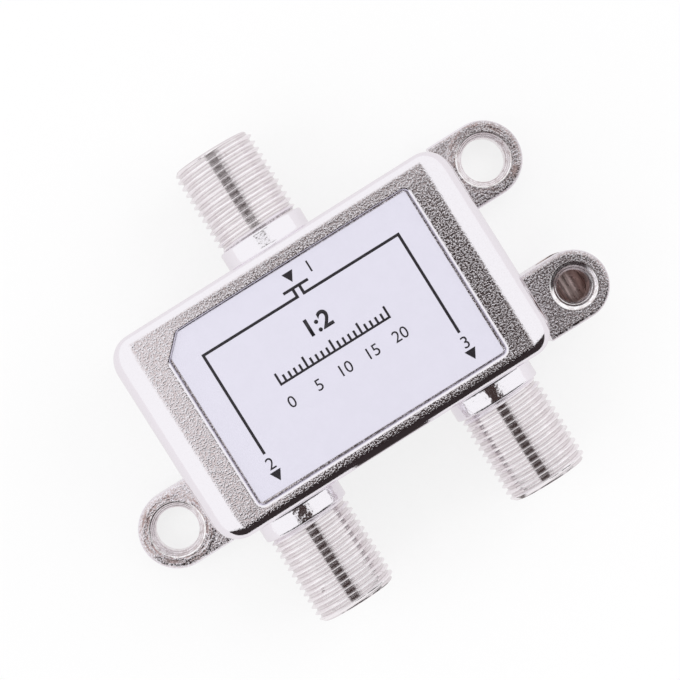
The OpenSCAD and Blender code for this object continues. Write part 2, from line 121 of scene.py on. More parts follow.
class LugSizes(PropertyGroup):
    """Sizes of the mounting ears and the ground block."""

    ear_radius: length("Round end of an ear", 4.3)
    ear_height: length("Back to front", 3)
    ear_round: length("Front edge of an ear", 0.5)
    ear_sink: length("Chamfer at the front of an ear's hole", 0.65)
    block_radius: length("Round end of the ground block", 3.85)
    block_height: length("Back to front", 9)
    block_round: length("Front edge of the block", 0.5)
    screw_sink: length("Chamfer at the mouth of the tapped hole", 0.85)
    root: length("Amount by which a lug reaches into the body's side", 0.4)
    hole_lip: length("Rounded lip of each hole", 0.12)


class PortSizes(PropertyGroup):
    """Sizes of the threaded ports."""

    pitch: length("Pitch of the port thread", 0.794)
    depth: length("Depth of the port thread", 0.43)
    boss_radius: length("Plain boss at the foot of a port", 4.95)
    boss_length: length("Plain boss at the foot of a port", 2.1)
    boss_round: length("Outer edge of the boss", 0.22)
    root_fillet: length("Fillet between the boss and the body", 0.3)
    bore_radius: length("Bore that holds the front insulator", 3.5)
    bore_step: length("Distance from the body to the bore's step", 3.2)
    rear_radius: length("Bore that holds the rear insulator", 2.8)
    cone: length("Lead-in cone at the mouth", 0.5)
    lip: length("Chamfer at the bore's mouth", 0.2)


class LabelSizes(PropertyGroup):
    """Sizes of the label and of its print. Places are measured from the label's centre."""

    cut: length("Size of the label's cut corner", 2)
    corner: length("Label's other corners", 0.3)
    skew: FloatProperty(name="Skew", description="Angle at which the label was stuck on, clockwise",
                        default=math.radians(0.25), subtype="ANGLE")
    print_shift: length("Print's centre, measured from the label's towards the input", 0.06)
    line: length("Width of the printed lines", 0.3)
    thin_line: length("Width of the scale's lines", 0.24)
    ink: length("Thickness of the ink", 0.012)
    bracket_half: length("Half of the bracket's width", 11.88)
    bracket_top: length("Height of the bracket's cross line", 6.25)
    bracket_foot: length("Height of the bracket's feet", -5.75)
    gap_half: length("Half of the gap between the two branches", 0.4)
    cap_height: length("Height of the cap line above both branches", 7.26)
    cap_half: length("Half of the cap line", 1.5)
    arrow: length("Height of the arrowheads", 1.15)
    digits: length("Height of the port numbers", 1.35)
    ratio: length("Height of the bold ratio", 1.95)
    scale_half: length("Half of the numbered scale's length", 6.6)
    scale_digits: length("Height of the scale's numbers", 1.3)


class Finishes(PropertyGroup):
    """Colours of the materials."""

    plating: colour("Nickel plate where it is clean", (0.915, 0.89, 0.935))
    plating_worn: colour("Nickel plate in the grain's hollows", (0.50, 0.385, 0.375))
    thread: colour("Nickel plate on the cut threads", (0.99, 0.97, 0.985))
    # Darker nickel along the threads' tool lines and nicks, and painted shade in their roots
    thread_dull_and_root_shade: colour("Nickel plate in the threads' roots", (0.56, 0.50, 0.51))
    drilled: colour("Thin plate inside the drilled holes", (0.60, 0.49, 0.47))
    # Dirt in the holes, and painted shadow in the label's gap and painted shade right of the recess
    grime: colour("Dirt in the holes and in the label's gap", (0.10, 0.075, 0.07))
    film: colour("Label's printed film", (0.765, 0.748, 0.855))
    ink: colour("Print on the label", (0.014, 0.011, 0.016))
    insulator: colour("Moulded polyethylene", (0.82, 0.81, 0.76))
    tin: colour("Tinned steel sheet", (0.68, 0.68, 0.67))
    solder: colour("Solder seam and joints", (0.72, 0.73, 0.74))
    bronze: colour("Contact strips", (0.72, 0.50, 0.24))
    laminate: colour("Circuit board", (0.16, 0.27, 0.13))
    copper: colour("Copper tracks", (0.75, 0.36, 0.22))
    ferrite: colour("Transformer cores", (0.035, 0.034, 0.036))
    enamel: colour("Winding wire", (0.45, 0.08, 0.03))
    ceramic: colour("Capacitor bodies", (0.46, 0.19, 0.06))
    lacquer: colour("Resistor body", (0.62, 0.47, 0.27))
    wire: colour("Tinned component leads", (0.70, 0.70, 0.70))


class StageSettings(PropertyGroup):
    """Floor, light and camera."""

    floor_half: length("Half of the floor's side", 1500)
    light_size: length("Side of each soft box", 550)
    light_distance: length("Distance of the soft boxes", 520)
    camera_place: FloatVectorProperty(name="Camera", description="Camera's place",
                                      default=(-1.838 * MM, 4.574 * MM, 259.82 * MM), subtype="TRANSLATION")
    camera_turn: FloatVectorProperty(name="Camera turn", description="Camera's turn about X, Y and Z",
                                     default=[math.radians(a) for a in (-0.54, -1.119, -32.153)],
                                     subtype="EULER")
    lens: FloatProperty(name="Lens", description="Focal length on a 36 mm sensor", default=125.3,
                        subtype="DISTANCE_CAMERA")


class SplitterSettings(PropertyGroup):
    """All sizes and colours of the splitter."""

    casting: PointerProperty(type=CastingSizes)
    lugs: PointerProperty(type=LugSizes)
    ports: PointerProperty(type=PortSizes)
    label: PointerProperty(type=LabelSizes)
    finishes: PointerProperty(type=Finishes)
    stage: PointerProperty(type=StageSettings)


# Nodes and their arithmetic

def pick(sockets, key):
    """A socket by its place, identifier or name."""
    if isinstance(key, int):
        return sockets[key]
    for socket in sockets:
        if socket.identifier == key:
            return socket
    return sockets[key]


class Wire:
    """A node's output, with the arithmetic that adds Math nodes."""

    def __init__(self, nodes, socket):
        self.nodes = nodes
        self.socket = socket

    def __getitem__(self, key):
        """Another output of the same node."""
        return Wire(self.nodes, pick(self.socket.node.outputs, key))

    def __abs__(self):
        return self.math("ABSOLUTE")

    def math(self, operation, *others):
        return self.nodes.math(operation, self, *others)

    def at_most(self, other):
        return self.math("MINIMUM", other)

    def at_least(self, other):
        return self.math("MAXIMUM", other)

    def ramp(self, low, high, start=0.0, end=1.0, smooth=True):
        """start below low, end above high, and a slope between them."""
        inputs = {"Value": self, "From Min": low, "From Max": high, "To Min": start, "To Max": end}
        return self.nodes.add("ShaderNodeMapRange", inputs,
                              interpolation_type="SMOOTHSTEP" if smooth else "LINEAR")


for sign, operation in (("add", "ADD"), ("sub", "SUBTRACT"), ("mul", "MULTIPLY"), ("truediv", "DIVIDE")):
    setattr(Wire, f"__{sign}__", lambda wire, other, kind=operation: wire.nodes.math(kind, wire, other))
    setattr(Wire, f"__r{sign}__", lambda wire, other, kind=operation: wire.nodes.math(kind, other, wire))


class Nodes:
    """A node tree, with the nodes that it is filled with most."""

    def __init__(self, tree):
        self.tree = tree

    def add(self, kind, inputs=None, **options):
        """Adds a node: its options first, then the values or links of its inputs. Returns its first output."""
        node = self.tree.nodes.new(kind)
        for name, value in options.items():
            setattr(node, name, value)
        for key, value in (inputs or {}).items():
            socket = pick(node.inputs, key)
            if isinstance(value, Wire):
                self.tree.links.new(value.socket, socket)
            else:
                socket.default_value = value
        shown = [socket for socket in node.outputs if socket.enabled]
        return Wire(self, shown[0]) if shown else None

    def math(self, operation, *values):
        return self.add("ShaderNodeMath", dict(enumerate(values)), operation=operation)

    def mix(self, share, low, high):
        """A colour between low and high."""
        low, high = (c if isinstance(c, Wire) else (*c, 1.0) for c in (low, high))
        return self.add("ShaderNodeMix", {"Factor_Float": share, "A_Color": low, "B_Color": high},
                        data_type="RGBA")

    def noise(self, place, scale, detail=2.0, roughness=0.5):
        return self.add("ShaderNodeTexNoise",
                        {"Vector": place, "Scale": scale, "Detail": detail, "Roughness": roughness})

    def bump(self, height, distance, normal=None):
        inputs = {"Height": height, "Distance": distance, "Strength": 1.0}
        if normal is not None:
            inputs["Normal"] = normal
        return self.add("ShaderNodeBump", inputs)

    def rounded(self, radius):
        """A normal that is softened at the edges."""
        return self.add("ShaderNodeBevel", {"Radius": radius}, samples=4)

    def mark(self, name):
        """One of the marks that the casting's mesh carries."""
        return self.add("ShaderNodeAttribute", attribute_name=name)["Fac"]

    def vector(self, x, y, z):
        return self.add("ShaderNodeCombineXYZ", {"X": x, "Y": y, "Z": z})

    def split(self, vector):
        """The three parts of a vector."""
        parts = self.add("ShaderNodeSeparateXYZ", {"Vector": vector})
        return [parts[axis] for axis in "XYZ"]


def material(name):
    """An empty material with its node tree, its place in space and its output."""
    made = bpy.data.materials.new(name)
    made.use_nodes = True
    made.node_tree.nodes.clear()
    nodes = Nodes(made.node_tree)
    place = nodes.add("ShaderNodeTexCoord")["Object"]
    return made, nodes, place


def finish(made, nodes, inputs):
    """Ends a material with one principled shader and returns it."""
    shader = nodes.add("ShaderNodeBsdfPrincipled", inputs)
    nodes.add("ShaderNodeOutputMaterial", {"Surface": shader})
    return made


def toned(base, share):
    """A darker or lighter tone of a colour."""
    return [c * share for c in base]


def settings():
    return bpy.context.scene.splitter


# Materials

def cast_plating():
    """Bright nickel over the casting: sandy grain on the faces that look up, ripples on the ports' bosses."""
    colours = settings().finishes
    made, nodes, place = material("cast_plating")
    share, ripple, painted_shade = (nodes.mark(name) for name in SKIN_MARKS)
    grain = nodes.noise(place, 5000, 1.5, 0.55)
    lumps = nodes.noise(place, 2900, 1.0)
    waves = nodes.noise(place, 1800, 1.5)
    swell = nodes.noise(place, 400, 1.0)
    rubbed, scratch = screw_marks(nodes, place)
    worn = ((grain.ramp(0.56, 0.42) * 0.5 + lumps.ramp(0.6, 0.4) * 0.2) * share
            + rubbed * scratch.ramp(0.54, 0.42) * 0.7).at_most(1.0)
    clean = nodes.mix(worn, colours.plating, colours.plating_worn)
    # Painted shadow in the label's gap and painted shade right of the recess, as patches of the dark colour
    shade_patches = painted_shade * (1 - ripple) * nodes.noise(place, 5200, 1.0).ramp(0.4, 0.55, 0.2, 0.85)
    soft = nodes.bump(swell * 0.5 + waves * ripple * 0.85, 0.05 * MM, nodes.rounded(0.14 * MM))
    sand = grain.ramp(0.46, 0.7) + lumps * 0.3 + rubbed * scratch * 5
    return finish(made, nodes, {
        "Base Color": nodes.mix(shade_patches, clean, colours.grime),
        "Metallic": 1.0,
        "Roughness": 0.08 + share * 0.05 + ripple * 0.04 + painted_shade * 0.08,
        "Normal": nodes.bump(sand * share, 0.03 * MM, soft),
    })


def screw_marks(nodes, place):
    """Where screw heads have rubbed the ears, and the round scratches that they left."""
    flat = nodes.add("ShaderNodeVectorMath", {0: place, 1: (1, 1, 0)}, operation="MULTIPLY")
    away = None
    for name in EARS:
        x, y, _ = MOUNTS[name]["pos_m"]
        reach = nodes.add("ShaderNodeVectorMath", {0: flat, 1: (x, y, 0)}, operation="DISTANCE")["Value"]
        away = reach if away is None else away.at_most(reach)
    edge = settings().lugs.ear_radius
    rubbed = away.ramp(edge * 0.98, edge * 0.86) * nodes.noise(place, 420, 1.0).ramp(0.4, 0.6, 0.25, 1.0)
    x, y, _ = nodes.split(place)
    return rubbed, nodes.noise(nodes.vector(away * 4500, x * 800, y * 800), 1.0, 2.0)


def cut_plating(name, base, wear, streaks, rough, contrast=0.4):
    """Nickel over a cut surface: fine tool lines, whose place is stretched along the cut, a few nicks,
    and painted shade in the roots."""
    made, nodes, place = material(name)
    fine = nodes.noise(place, 2600, 3.0, 0.6)
    nicks = nodes.noise(place, 900, 2.0, 0.7).ramp(0.68, 0.74)
    lines = nodes.noise(nodes.add("ShaderNodeMapping", {"Vector": place, "Scale": streaks}), 1.0, 2.0)
    # Painted shade in the threads' roots, from the casting's painted-shade mark, joins the duller tool lines
    # and nicks
    root = nodes.mark("grime")
    dull = lines.ramp(0.55, 0.3) * contrast + nicks * 0.4 + root.ramp(0.6, 1.0) * 0.38
    return finish(made, nodes, {
        "Base Color": nodes.mix(dull.at_most(1.0), base, wear),
        "Metallic": 1.0,
        "Roughness": fine.ramp(0.3, 0.7, rough, rough * 1.5),
        "Normal": nodes.bump(fine * 0.4 + lines * 0.6 - nicks * 1.5, 0.0035 * MM, nodes.rounded(0.012 * MM)),
    })


def casting_skins():
    """The casting's finishes, in the order of CAST, MACHINED, DRILLED and SUNK, made once."""
    names = ("cast_plating", "thread_plating", "channel_plating", "sink_plating")
    if names[CAST] not in bpy.data.materials:
        colours = settings().finishes
        cast_plating()
        cut_plating(names[MACHINED], colours.thread, colours.thread_dull_and_root_shade, (300, 9000, 300), 0.12, 0.22)
        cut_plating(names[DRILLED], colours.drilled, colours.grime, (4600, 200, 200), 0.26, 0.75)
        cut_plating(names[SUNK], colours.thread, colours.plating_worn, (1700, 1700, 3000), 0.16)
    return [bpy.data.materials[name] for name in names]


def label_film():
    """Matte film with a faint mottle."""
    film = settings().finishes.film
    made, nodes, place = material("label_film")
    mottle = nodes.noise(place, 700, 3.0, 0.6)
    fibre = nodes.noise(place, 6000, 2.0)
    return finish(made, nodes, {
        "Base Color": nodes.mix(mottle.ramp(0.35, 0.65), toned(film, 0.985), film),
        "Roughness": fibre.ramp(0.3, 0.7, 0.42, 0.55),
        "Normal": nodes.bump(fibre + mottle, 0.002 * MM),
    })


def printed_ink():
    """Thin printed ink, slightly uneven."""
    ink = settings().finishes.ink
    made, nodes, place = material("printed_ink")
    speck = nodes.noise(place, 5000, 2.0)
    return finish(made, nodes, {
        "Base Color": nodes.mix(speck.ramp(0.55, 0.8), ink, toned(ink, 3)),
        "Roughness": speck.ramp(0.3, 0.7, 0.38, 0.5),
    })


def moulded(name, base, grain_scale, rough, grain_height):
    """A moulded or sintered surface: a fine grain, a broad change of tone and softened edges."""
    made, nodes, place = material(name)
    grain = nodes.noise(place, grain_scale, 3.0, 0.6)
    broad = nodes.noise(place, grain_scale * 0.12, 2.0)
    mottle = broad.ramp(0.35, 0.7) * 0.6 + grain.ramp(0.4, 0.7) * 0.3
    return finish(made, nodes, {
        "Base Color": nodes.mix(mottle, base, toned(base, 0.82)),
        "Roughness": grain.ramp(0.3, 0.7, rough, rough + 0.14),
        "Normal": nodes.bump(grain, grain_height, nodes.rounded(0.08 * MM)),
    })


def sheet_metal(name, base, rough, ripple, scratch):
    """Rolled or tinned metal: long scratches one way, a slow ripple and duller patches."""
    made, nodes, place = material(name)
    along = nodes.add("ShaderNodeMapping", {"Vector": place, "Scale": (180, 4200, 4200)})
    lines = nodes.noise(along, 1.0, 3.0, 0.6)
    wave = nodes.noise(place, 160, 2.0)
    dull = nodes.noise(place, 700, 3.0, 0.6).ramp(0.5, 0.7)
    return finish(made, nodes, {
        "Base Color": nodes.mix(dull * 0.5 + lines.ramp(0.6, 0.75) * 0.25, base, toned(base, 0.7)),
        "Metallic": 1.0,
        "Roughness": lines.ramp(0.35, 0.65, rough, rough + 0.12) + dull * 0.1,
        "Normal": nodes.bump(lines, scratch, nodes.bump(wave, ripple)),
    })


def board_laminate():
    """Glass-filled laminate with its weave showing faintly."""
    base = settings().finishes.laminate
    made, nodes, place = material("board_laminate")
    x, y, _ = nodes.split(place)
    weave = abs((x * 9000).math("SINE")) * abs((y * 9000).math("SINE"))
    cloud = nodes.noise(place, 900, 2.0)
    return finish(made, nodes, {
        "Base Color": nodes.mix(weave * 0.35 + cloud.ramp(0.4, 0.7) * 0.3, base, toned(base, 1.7)),
        "Roughness": cloud.ramp(0.3, 0.7, 0.3, 0.42),
        "Normal": nodes.bump(weave, 0.004 * MM),
    })


# Meshes

def new_object(name, data):
    made = bpy.data.objects.new(name, data)
    bpy.context.scene.collection.objects.link(made)
    return made


def loft(name, rings, surface=None):
    """Joins rings of points that hold the same number of points. A ring of one point is a pole.
    The first and the last ring are capped. surface is the finish of a piece of the casting."""
    points = []
    starts = []
    for ring in rings:
        starts.append(len(points))
        points.extend(ring)
    faces = []
    for low, high in zip(range(len(rings)), range(1, len(rings))):
        count = max(len(rings[low]), len(rings[high]))
        for step in range(count):
            face = []
            for ring, steps in ((low, (step, step + 1)), (high, (step + 1, step))):
                for corner in steps:
                    face.append(starts[ring] + corner % len(rings[ring]))
            faces.append(list(dict.fromkeys(face)))
    for ring in (0, len(rings) - 1):
        if len(rings[ring]) > 2:
            faces.append([starts[ring] + step for step in range(len(rings[ring]))])
    mesh = bpy.data.meshes.new(name)
    mesh.from_pydata(points, [], faces)
    outward(mesh)
    if surface is not None:
        for skin in casting_skins():
            mesh.materials.append(skin)
        mesh.polygons.foreach_set("material_index", [surface] * len(mesh.polygons))
    return new_object(name, mesh)


def outward(mesh):
    """Turns every face of a closed mesh outwards."""
    work = bmesh.new()
    work.from_mesh(mesh)
    bmesh.ops.recalc_face_normals(work, faces=work.faces)
    work.to_mesh(mesh)
    work.free()


def circle(radius, height, steps=TURN_STEPS):
    """A ring round Z, or its one point where the radius is 0."""
    if radius <= 0:
        return [(0, 0, height)]
    return [(radius * math.cos(math.tau * step / steps), radius * math.sin(math.tau * step / steps), height)
            for step in range(steps)]


def lathe(name, profile, surface=CAST, steps=TURN_STEPS):
    """A turned solid from (radius, height) points, from one point on the axis to another."""
    return loft(name, [circle(radius, height, steps) for radius, height in profile], surface)


def fillet(centre, radius, start, end, steps=ROUND_STEPS):
    """Points of an arc in a profile, from one angle in degrees to another."""
    angles = [math.radians(start + (end - start) * step / steps) for step in range(steps + 1)]
    return [(centre[0] + radius * math.cos(a), centre[1] + radius * math.sin(a)) for a in angles]


def corner_ring(half_x, half_y, radius, height):
    """A ring with four round corners whose centres lie at half_x and half_y.
    radius is a number, or one along X and one along Y. height is a number, or a function of the direction
    that a point faces."""
    reach_x, reach_y = radius if isinstance(radius, tuple) else (radius, radius)
    ring = []
    for quarter, (side_x, side_y) in enumerate(((1, 1), (-1, 1), (-1, -1), (1, -1))):
        for step in range(CORNER_STEPS + 1):
            angle = math.radians(90) * (quarter + step / CORNER_STEPS)
            x = side_x * half_x + reach_x * math.cos(angle)
            y = side_y * half_y + reach_y * math.sin(angle)
            ring.append((x, y, height(angle) if callable(height) else height))
    return ring


def settle(item):
    """Turns an object's modifiers into its plain mesh."""
    graph = bpy.context.evaluated_depsgraph_get()
    graph.update()
    mesh = bpy.data.meshes.new_from_object(item.evaluated_get(graph), preserve_all_data_layers=True,
                                           depsgraph=graph)
    item.modifiers.clear()
    old = item.data
    item.data = mesh
    mesh.name = item.name
    bpy.data.meshes.remove(old)
    return item


def combine(item, tool, operation):
    """Unites, cuts or intersects an object with a tool, which is used up."""
    modifier = item.modifiers.new(operation.lower(), "BOOLEAN")
    modifier.object = tool
    modifier.operation = operation
    modifier.solver = "MANIFOLD"
    modifier.material_mode = "TRANSFER"
    before = len(item.data.polygons)
    settle(item)
    if len(item.data.polygons) == before:
        raise RuntimeError(f"{tool.name} changed nothing on {item.name}")
    mesh = tool.data
    bpy.data.objects.remove(tool)
    bpy.data.meshes.remove(mesh)
    return item


def place_on(item, position, axis):
    """Moves a piece that was made along Z to a place, with its Z along the axis."""
    turn = Vector(axis).to_track_quat("Z", "Y").to_matrix().to_4x4()
    item.data.transform(Matrix.Translation(Vector(position)) @ turn)


def shade(item, sharp=34):
    """Smooth shading, broken at sharp edges, with flat faces kept flat."""
    item.data.shade_smooth()
    item.data.set_sharp_from_angle(angle=math.radians(sharp))
    weigh = item.modifiers.new("weigh", "WEIGHTED_NORMAL")
    weigh.keep_sharp = True
    weigh.weight = 80
    settle(item)


# Housing

# For each way that a face can lean: the part of its normal at which the grain starts to fade, and the change of
# that part over which it goes
GRAIN_FADES = {"sides": (0.03, 0.12), "input": (0.06, 0.2), "outputs": (0.08, 0.35), "back": (-0.3, 0.1)}


def map_skin(casting):
    """Marks each face corner of the casting: its grain, full on the body's upward faces and faint on its sides,
    its ripple, on the ports alone, and its painted shade: a painted shadow at the foot of the recess's wall,
    painted shade in the threads' roots and, faintly, painted shade right of the recess."""
    sizes = settings().casting
    lugs = settings().lugs
    ports = settings().ports
    mesh = casting.data
    floor = sizes.height - sizes.recess_depth
    flat_end = sizes.width / 2 - sizes.side_round
    shaded_reach = sizes.recess_slope + sizes.recess_foot_shade * 1.1
    axes = [Vector(MOUNTS[name]["pos_m"]) for name in PORTS.values()]
    crest = MOUNTS[PORTS["input"]]["dims"]["r_mm"] * MM
    marks = []
    for corner, facing in zip(mesh.loops, mesh.corner_normals):
        x, y, z = mesh.vertices[corner.vertex_index].co
        if abs(y) > sizes.length / 2 + 0.05 * MM:
            from_axis = min(math.hypot(x - axis.x, z - axis.z) for axis in axes if axis.y * y > 0)
            # Painted shade in the ports' thread roots, full at the root and none at the crest
            grime = min(max((crest - from_axis) / ports.depth, 0), 1)
            marks.append((0.0, 1.0 if y < 0 else 0.3, grime))
            continue
        across, along, up = facing.vector
        leans = {"sides": abs(across), "input": along, "outputs": -along, "back": -up}
        bend = max((x - flat_end) / (4 * NEAR),
                   *((leans[way] - start) / width for way, (start, width) in GRAIN_FADES.items()))
        if abs(x) > sizes.width / 2 - 0.5 * MM and z < lugs.block_height + NEAR:
            bend = (0.85 - up) / 0.35
        grain = 0.05 + 0.95 * (1 - min(max(bend, 0), 1))
        # Painted shadow in the label's gap at the foot of the recess's wall, and fainter painted shade right of
        # the recess
        at_foot = abs(z - floor) < 0.01 * MM and 0 < inside_recess(x, y) < shaded_reach
        marks.append((grain, 0.0, 1.0 if at_foot else 0.45 * grain if x > sizes.recess_width / 2 else 0.0))
    for name, values in zip(SKIN_MARKS, zip(*marks)):
        mesh.attributes.new(name, "FLOAT", "CORNER").data.foreach_set("value", values)


def casting_body():
    """Box of the casting as one skin: cavity, rim, outer wall, rounded front and label recess."""
    sizes = settings().casting
    half_x = sizes.width / 2 - sizes.corner_round
    half_y = sizes.length / 2 - sizes.corner_round
    rings = []

    def upright(inset, radius, height):
        reach_x, reach_y = (side / 2 - inset - radius for side in (sizes.width, sizes.length))
        rings.append(corner_ring(reach_x, reach_y, radius, height))

    def edge_round(angle):
        return sizes.side_round * math.cos(angle) ** 2 + sizes.end_round * math.sin(angle) ** 2

    cavity_round = sizes.corner_round - sizes.wall
    rebate_round = sizes.corner_round - sizes.rim
    upright(sizes.wall, cavity_round, sizes.height - sizes.recess_depth - sizes.front_wall)
    upright(sizes.wall, cavity_round, sizes.rebate)
    upright(sizes.rim, rebate_round, sizes.rebate)
    upright(sizes.rim, rebate_round, 0)
    for offset, lift in fillet((sizes.foot_round, sizes.foot_round), sizes.foot_round, 270, 180):
        upright(offset, sizes.corner_round - offset, lift)
    for step in range(2 * ROUND_STEPS + 1):
        turn = math.radians(45 * step / ROUND_STEPS)
        fall = 1 - math.cos(turn)
        rings.append(corner_ring(
            half_x, half_y,
            (sizes.corner_round - sizes.side_round * fall, sizes.corner_round - sizes.end_round * fall),
            lambda angle: sizes.height - edge_round(angle) * (1 - math.sin(turn))))
    slope = math.atan2(sizes.recess_depth, sizes.recess_slope)
    lip = sizes.lip_round
    run = lip * math.tan(slope / 2)
    rings.append(corner_ring(half_x, half_y, (sizes.corner_round - sizes.side_round - NEAR,
                                              sizes.corner_round - sizes.end_round - NEAR), sizes.height))
    rings.append(recess_ring(-run - NEAR, sizes.height))
    for step in range(5):
        turn = slope * step / 4
        rings.append(recess_ring(lip * math.sin(turn) - run, sizes.height - lip * (1 - math.cos(turn))))
    # Rings on the recess's floor that hold the painted shadow at the foot of its wall
    for inset in (0, sizes.recess_foot_shade, sizes.recess_foot_shade * 1.3):
        rings.append(recess_ring(sizes.recess_slope + inset, sizes.height - sizes.recess_depth))
    return loft("casting", rings, CAST)


def recess_ring(inward, height):
    """Ring round the recess, a distance inside its lip. Its corner beside the label's cut corner is cut too."""
    sizes = settings().casting
    top = inward * sizes.recess_top_slope / sizes.recess_slope
    half_x = sizes.recess_width / 2 - inward
    half_y = sizes.recess_length / 2 - (inward + top) / 2
    middle = (inward - top) / 2 - sizes.recess_shift
    radius = sizes.recess_round - inward
    cut = sizes.recess_cut - inward * (2 - math.sqrt(2))
    tangent = radius * math.tan(math.radians(22.5))
    ring = corner_ring(half_x - radius, half_y - radius, radius, height)
    first, second = (CORNER_STEPS + 1) // 2, CORNER_STEPS + 1 - (CORNER_STEPS + 1) // 2
    ring[CORNER_STEPS + 1:2 * CORNER_STEPS + 2] = [(x, y, height) for x, y in (
        *fillet((cut + tangent - half_x, half_y - radius), radius, 90, 135, first - 1),
        *fillet((radius - half_x, half_y - cut - tangent), radius, 135, 180, second - 1))]
    return [(x, y + middle, z) for x, y, z in ring]


def inside_recess(x, y):
    """Distance of a point inside the recess's lip."""
    sizes = settings().casting
    to_side = sizes.recess_width / 2 - abs(x)
    to_foot = sizes.recess_length / 2 + y + sizes.recess_shift
    to_top = sizes.recess_length / 2 - y - sizes.recess_shift
    to_corner = (x + sizes.recess_width / 2 + to_top - sizes.recess_cut) / math.sqrt(2)
    return min(to_side, to_foot, to_top * sizes.recess_slope / sizes.recess_top_slope, to_corner)


def lug(name, hole, radius, height, edge):
    """Plate with a round end: its straight part runs back into the body's side."""
    sizes = settings()
    centre = Vector(hole["pos_m"])
    side = math.copysign(1, centre.x)
    back = sizes.casting.width / 2 - sizes.lugs.root - abs(centre.x)
    bevel = 0.2 * MM
    rings = []
    for inset, lift in ((bevel, 0), (0, bevel), *fillet((edge, height - edge), edge, 180, 90)):
        reach = radius - inset
        outline = ((back, -reach), *fillet((0, 0), reach, -90, 90, 4 * ROUND_STEPS), (back, reach))
        rings.append([(centre.x + side * x, centre.y + y, lift) for x, y in outline])
    return loft(name, rings, CAST)


def drill(name, hole, depth, height, sink, lip):
    """Cutter for a hole whose countersunk mouth, at a height, is turned in three steps and has a soft lip."""
    radius = hole["dims"]["r_mm"] * MM
    centre = Vector(hole["pos_m"])
    outer = radius + sink
    profile = [
        (0, depth),
        (radius, depth),
        (radius, height - sink),
        (radius + sink * 0.24, height - sink * 0.68),
        (radius + sink * 0.31, height - sink * 0.66),
        (radius + sink * 0.55, height - sink * 0.34),
        (radius + sink * 0.62, height - sink * 0.32),
        (outer - lip, height - lip * 0.3),
        (outer - lip * 0.3, height - lip * 0.08),
        (outer + lip * 0.4, height),
        (outer + lip * 0.4, height + OVER),
        (0, height + OVER),
    ]
    cutter = lathe(name, profile, SUNK)
    cutter.data.transform(Matrix.Translation((centre.x, centre.y, 0)))
    return cutter


class SPLITTER_OT_casting(Operator):
    """Makes the die-cast housing: body, ears, ground block and threaded ports in one piece."""

    bl_idname = "splitter.casting"
    bl_label = "Casting"

    def execute(self, context):
        sizes = settings()
        lugs = sizes.lugs
        casting = casting_body()
        for number, name in enumerate(EARS, 1):
            hole = MOUNTS[name]
            ear = lug(f"ear_{number}", hole, lugs.ear_radius, lugs.ear_height, lugs.ear_round)
            cutter = drill("ear_drill", hole, -OVER, lugs.ear_height, lugs.ear_sink, lugs.hole_lip)
            combine(ear, cutter, "DIFFERENCE")
            combine(casting, ear, "UNION")
        combine(casting, ground_block(), "UNION")
        for name, mount in PORTS.items():
            add_port(casting, name, MOUNTS[mount])
        shade(casting)
        map_skin(casting)
        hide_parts("housing")
        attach(casting, "root")
        return {"FINISHED"}


def ground_block():
    """Block with its tapped hole and the channel for the ground wire."""
    sizes = settings().lugs
    hole = MOUNTS["ground_screw_hole"]
    channel = MOUNTS["ground_wire_channel"]
    block = lug("ground_block", hole, sizes.block_radius, sizes.block_height, sizes.block_round)
    depth = channel["pos_m"][2]
    cutter = drill("screw_drill", hole, depth, sizes.block_height, sizes.screw_sink, sizes.hole_lip)
    combine(block, cutter, "DIFFERENCE")
    radius = channel["dims"]["r_mm"] * MM
    reach = sizes.block_radius + OVER
    cutter = lathe("channel_drill", [(0, -reach), (radius, -reach), (radius, reach), (0, reach)], DRILLED)
    place_on(cutter, (channel["pos_m"][0], hole["pos_m"][1], depth), channel["axis"])
    return combine(block, cutter, "DIFFERENCE")


def open_tree(name, **inputs):
    """A new geometry tree. inputs gives, for each socket type, the names of the inputs that have it."""
    tree = bpy.data.node_groups.new(name, "GeometryNodeTree")
    tree.interface.new_socket("Geometry", in_out="OUTPUT", socket_type="NodeSocketGeometry")
    for kind, labels in inputs.items():
        for label in labels:
            tree.interface.new_socket(label, in_out="INPUT", socket_type=f"NodeSocket{kind}")
    nodes = Nodes(tree)
    return tree, nodes, nodes.add("NodeGroupInput")


def close_tree(nodes, given, geometry):
    """Ends a geometry tree with a real mesh that has the given material."""
    geometry = nodes.add("GeometryNodeRealizeInstances", {"Geometry": geometry})
    geometry = nodes.add("GeometryNodeSetMaterial", {"Geometry": geometry, "Material": given["Material"]})
    nodes.add("NodeGroupOutput", {"Geometry": geometry})


